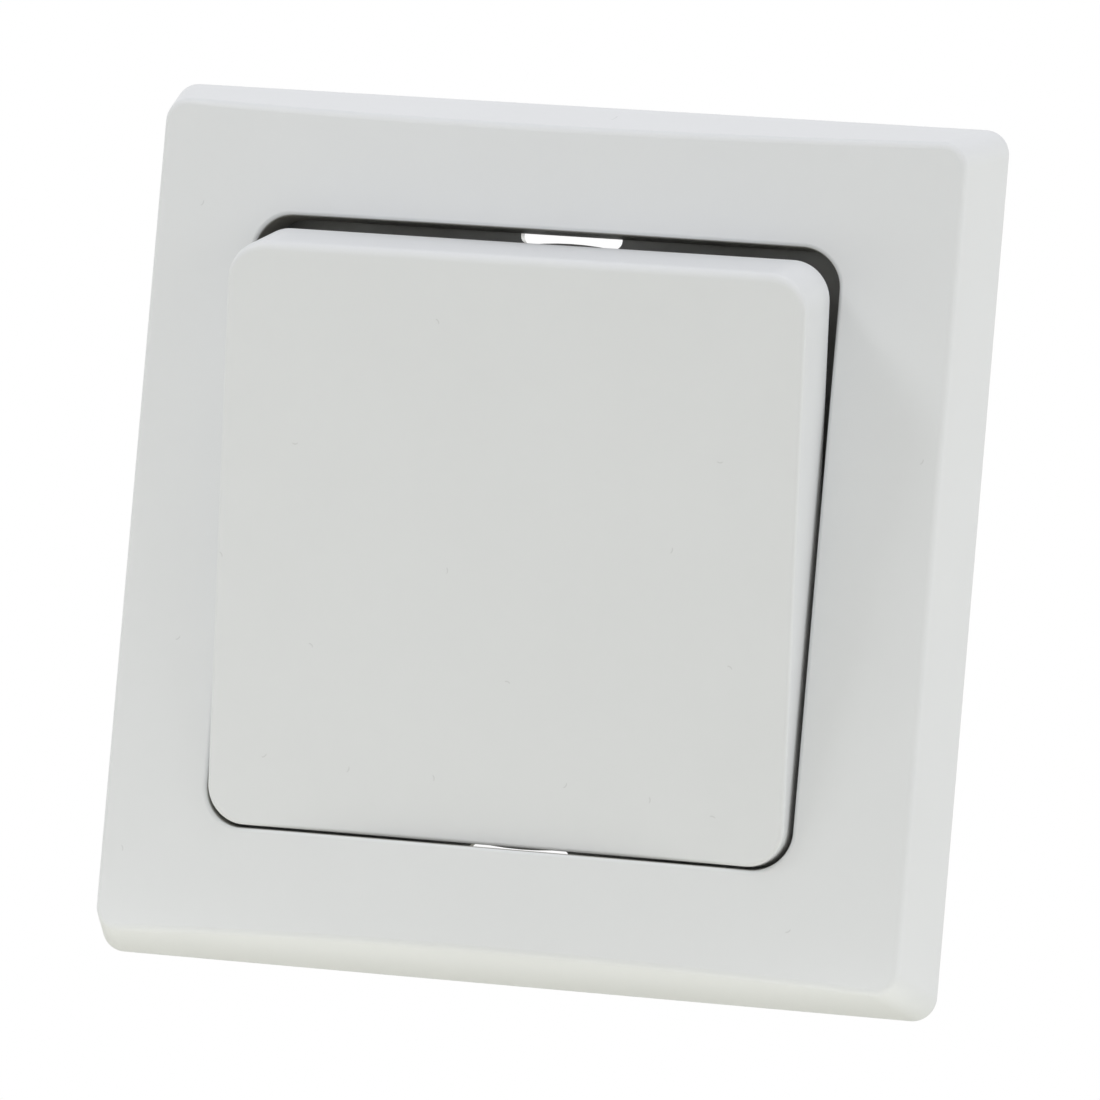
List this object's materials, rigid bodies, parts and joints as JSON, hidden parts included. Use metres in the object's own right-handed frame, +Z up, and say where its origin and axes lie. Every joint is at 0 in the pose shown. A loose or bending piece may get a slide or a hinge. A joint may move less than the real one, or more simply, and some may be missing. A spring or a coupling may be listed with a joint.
{
  "type": "push button light switch",
  "caption": "Square flush wall push button: arched white frame round a tilting rocker plate that closes a spring-returned contact in a claw-fixed insert.",
  "frame": {"origin": "middle of the wall plane, on which the cover frame's rear rim lies", "axes": "+X to the right, +Y into the wall, +Z up; the rocker faces -Y"},
  "size_m": [0.08, 0.0404, 0.08],
  "materials": {
    "white_plastic": "glossy white moulded plastic",
    "carrier_plastic": "dark grey moulded plastic",
    "base_plastic": "black insulating plastic",
    "zinc_steel": "zinc plated sheet steel",
    "brass": "plain brass",
    "silver": "silver alloy contact face",
    "spring_steel": "bright spring wire"
  },
  "bodies": {
    "insert": {"cover_frame": "white_plastic", "support_ring": "zinc_steel", "ring_rivets": "zinc_steel", "base": "base_plastic", "contact_cover": "base_plastic", "contact_pin": "spring_steel", "fixed_contact": "silver", "line_terminal": "brass", "load_terminal": "brass", "terminal_screws": "zinc_steel", "return_spring": "spring_steel", "claw_nuts": "zinc_steel"},
    "rocker": {"rocker_cap": "white_plastic", "rocker_carrier": "carrier_plastic"},
    "contact": {"contact_lever": "brass", "moving_contact": "silver"},
    "claw_right": {"claw_right": "zinc_steel"},
    "claw_left": {"claw_left": "zinc_steel"},
    "claw_screw_right": {"claw_screw_right": "zinc_steel"},
    "claw_screw_left": {"claw_screw_left": "zinc_steel"}
  },
  "joints": [
    {"name": "rocker_tilt", "type": "hinge", "parent": "insert", "child": "rocker", "pos_m": [0, -0.00267, 0], "axis": [1, 0, 0], "range_deg": [-15.8, 0], "stiffness_Nm_per_rad": 0.12, "springref_deg": 14.32},
    {"name": "contact_swing", "type": "hinge", "parent": "insert", "child": "contact", "pos_m": [0, 0.0189, -0.0009], "axis": [1, 0, 0], "range_deg": [0, 14.2], "deforming": ["return_spring"]},
    {"name": "claw_right_swing", "type": "hinge", "parent": "insert", "child": "claw_right", "pos_m": [0.024, 0.001, 0], "axis": [0, 0, -1], "range_deg": [0, 15.2]},
    {"name": "claw_left_swing", "type": "hinge", "parent": "insert", "child": "claw_left", "pos_m": [-0.024, 0.001, 0], "axis": [0, 0, 1], "range_deg": [0, 15.2]},
    {"name": "claw_screw_right_feed", "type": "slide", "parent": "insert", "child": "claw_screw_right", "axis": [0, 1, 0], "range_m": [0, 0.000602]},
    {"name": "claw_screw_left_feed", "type": "slide", "parent": "insert", "child": "claw_screw_left", "axis": [0, 1, 0], "range_m": [0, 0.000602]}
  ],
  "couplings": [
    {"joint": "contact_swing", "follows": "rocker_tilt", "ratio": -0.89579},
    {"joint": "claw_right_swing", "follows": "claw_screw_right_feed", "rad_per_m": 434.78},
    {"joint": "claw_left_swing", "follows": "claw_screw_left_feed", "rad_per_m": 434.78}
  ]
}
